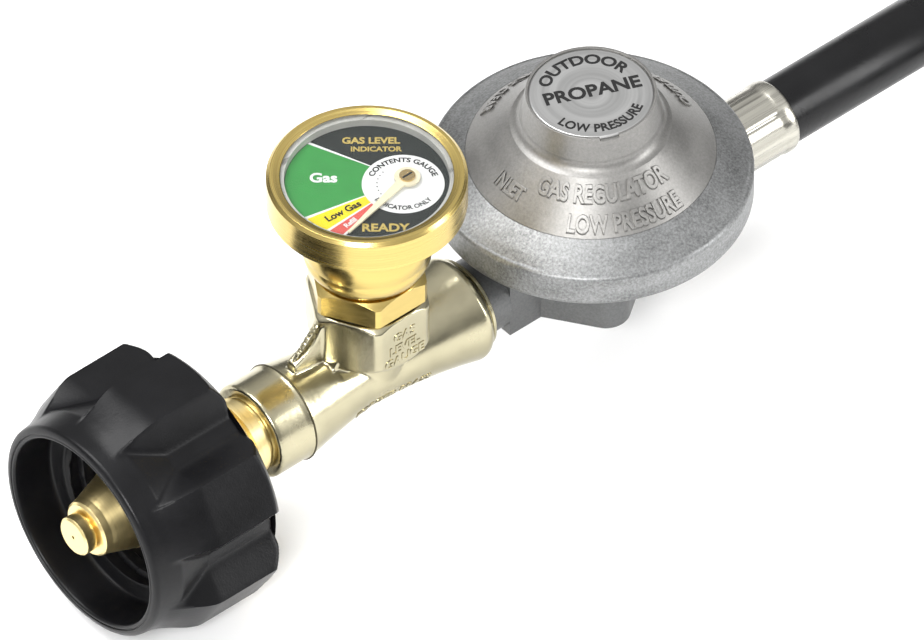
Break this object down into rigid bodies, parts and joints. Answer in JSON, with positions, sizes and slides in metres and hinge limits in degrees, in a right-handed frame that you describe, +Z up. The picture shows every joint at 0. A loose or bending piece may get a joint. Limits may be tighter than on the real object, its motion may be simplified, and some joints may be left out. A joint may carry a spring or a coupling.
{
  "type": "gas regulator",
  "caption": "Low-pressure gas regulator with a lobed handwheel inlet nut, a tee carrying a round contents gauge, a disc-shaped regulator and a coiled rubber hose with a flare end.",
  "frame": {"origin": "under the middle of the hard parts (inlet probe to outlet ferrule), on the surface they stand on", "axes": "+X along the pipe from the handwheel to the hose, +Z up, out of the gauge's dial"},
  "size_m": [0.4061, 0.1722, 0.0797],
  "materials": {
    "black_nylon": "satin moulded nylon",
    "bushing_plastic": "moulded",
    "spring_steel": "bright",
    "brass": "turned and polished",
    "nickel_casting": "nickel plated forging, satin",
    "gauge_brass": "brushed",
    "rubber": "moulded",
    "lens": "clear",
    "dial_paint": "printed dial",
    "pointer_paint": "painted",
    "bronze_tube": "drawn",
    "zinc_casting": "die-cast zinc alloy, as cast",
    "bonnet_zinc": "die-cast zinc alloy, fine matte",
    "aluminium_cap": "satin",
    "crimp_metal": "crimped, bright",
    "hose_rubber": "smooth extruded"
  },
  "bodies": {
    "regulator": {"inlet_nipple": "brass", "probe_tip": "brass", "limiter_spring": "spring_steel", "limiter_seat": "brass", "tee_body": "nickel_casting", "tee_end_ring": "nickel_casting", "gauge_seal_washer": "rubber", "gauge_case": "gauge_brass", "gauge_bezel": "gauge_brass", "lens_gasket": "rubber", "gauge_lens": "lens", "dial_plate": "dial_paint", "sector_arbor": "spring_steel", "movement_plate_lower": "brass", "movement_plate_upper": "brass", "movement_pillars": "brass", "tube_socket": "brass", "bourdon_tube": "bronze_tube", "regulator_body": "zinc_casting", "bonnet": "bonnet_zinc", "diaphragm": "rubber", "main_spring": "spring_steel", "cap_disc": "aluminium_cap", "inlet_filter": "bronze_tube", "inlet_nozzle": "brass", "lever_pin": "spring_steel", "outlet_tail": "brass", "outlet_ferrule": "crimp_metal", "hose_root": "hose_rubber", "hose_lead": "hose_rubber", "hose_coil": "hose_rubber", "end_ferrule": "crimp_metal", "end_hose_root": "hose_rubber", "end_tail": "brass"},
    "bushing": {"thermal_bushing": "bushing_plastic", "nut_retaining_ring": "spring_steel"},
    "handwheel": {"handwheel_nut": "black_nylon"},
    "poppet": {"limiter_poppet": "bushing_plastic"},
    "needle": {"pointer": "pointer_paint", "pointer_hub": "brass", "pinion_arbor": "brass"},
    "sector": {"sector_gear": "brass"},
    "link": {"tip_link": "brass"},
    "diaphragm_group": {"diaphragm_plate": "aluminium_cap", "diaphragm_stem": "brass", "stem_nut": "spring_steel"},
    "valve_lever": {"lever": "spring_steel"},
    "plunger": {"valve_plunger": "brass", "valve_pad": "rubber"},
    "spring_seat": {"spring_washer": "spring_steel"},
    "screw": {"adjusting_screw": "zinc_casting"},
    "swivel": {"swivel_nut": "brass"}
  },
  "joints": [
    {"name": "nut_float", "type": "slide", "parent": "regulator", "child": "bushing", "axis": [1, 0, 0], "range_m": [0, 0.0035]},
    {"name": "nut_spin", "type": "hinge", "parent": "bushing", "child": "handwheel", "pos_m": [-0.0714, 0, 0.0272], "axis": [1, 0, 0], "continuous": true},
    {"name": "limiter_slide", "type": "slide", "parent": "regulator", "child": "poppet", "axis": [1, 0, 0], "range_m": [0, 0.002], "stiffness_N_per_m": 60, "springref_m": -0.002, "deforming": ["limiter_spring"]},
    {"name": "sector_swing", "type": "hinge", "parent": "regulator", "child": "sector", "pos_m": [-0.0205, 0.00301, 0.0686], "axis": [0, 0, 1], "range_deg": [0, 13.8], "deforming": ["bourdon_tube"]},
    {"name": "pointer_turn", "type": "hinge", "parent": "regulator", "child": "needle", "pos_m": [-0.0085, -0.0042, 0.0772], "axis": [0, 0, 1], "range_deg": [-83, 0]},
    {"name": "link_turn", "type": "hinge", "parent": "sector", "child": "link", "pos_m": [-0.01895, 0.00558, 0.0692], "axis": [0, 0, 1], "range_deg": [-14, 0]},
    {"name": "diaphragm_lift", "type": "slide", "parent": "regulator", "child": "diaphragm_group", "axis": [0, 0, 1], "range_m": [0, 0.0018], "stiffness_N_per_m": 800, "springref_m": -0.006, "deforming": ["diaphragm", "main_spring"]},
    {"name": "lever_swing", "type": "hinge", "parent": "regulator", "child": "valve_lever", "pos_m": [0.0326, 0, 0.0235], "axis": [0, -1, 0], "range_deg": [0, 10.5]},
    {"name": "valve_slide", "type": "slide", "parent": "regulator", "child": "plunger", "axis": [1, 0, 0], "range_m": [-0.0007, 0]},
    {"name": "spring_seat_travel", "type": "slide", "parent": "regulator", "child": "spring_seat", "axis": [0, 0, -1], "range_m": [0, 0.003]},
    {"name": "screw_turn", "type": "hinge", "parent": "spring_seat", "child": "screw", "pos_m": [0.0428, 0, 0.0622], "axis": [0, 0, -1], "range_deg": [0, 720]},
    {"name": "swivel_spin", "type": "hinge", "parent": "regulator", "child": "swivel", "pos_m": [0.2606, -0.01, 0.01097], "axis": [1, 0, 0], "continuous": true}
  ],
  "couplings": [
    {"joint": "pointer_turn", "follows": "sector_swing", "ratio": -6},
    {"joint": "link_turn", "follows": "sector_swing", "ratio": -1},
    {"joint": "lever_swing", "follows": "diaphragm_lift", "rad_per_m": 98.039},
    {"joint": "valve_slide", "follows": "diaphragm_lift", "ratio": -0.36275},
    {"joint": "screw_turn", "follows": "spring_seat_travel", "rad_per_m": 4188.8}
  ]
}
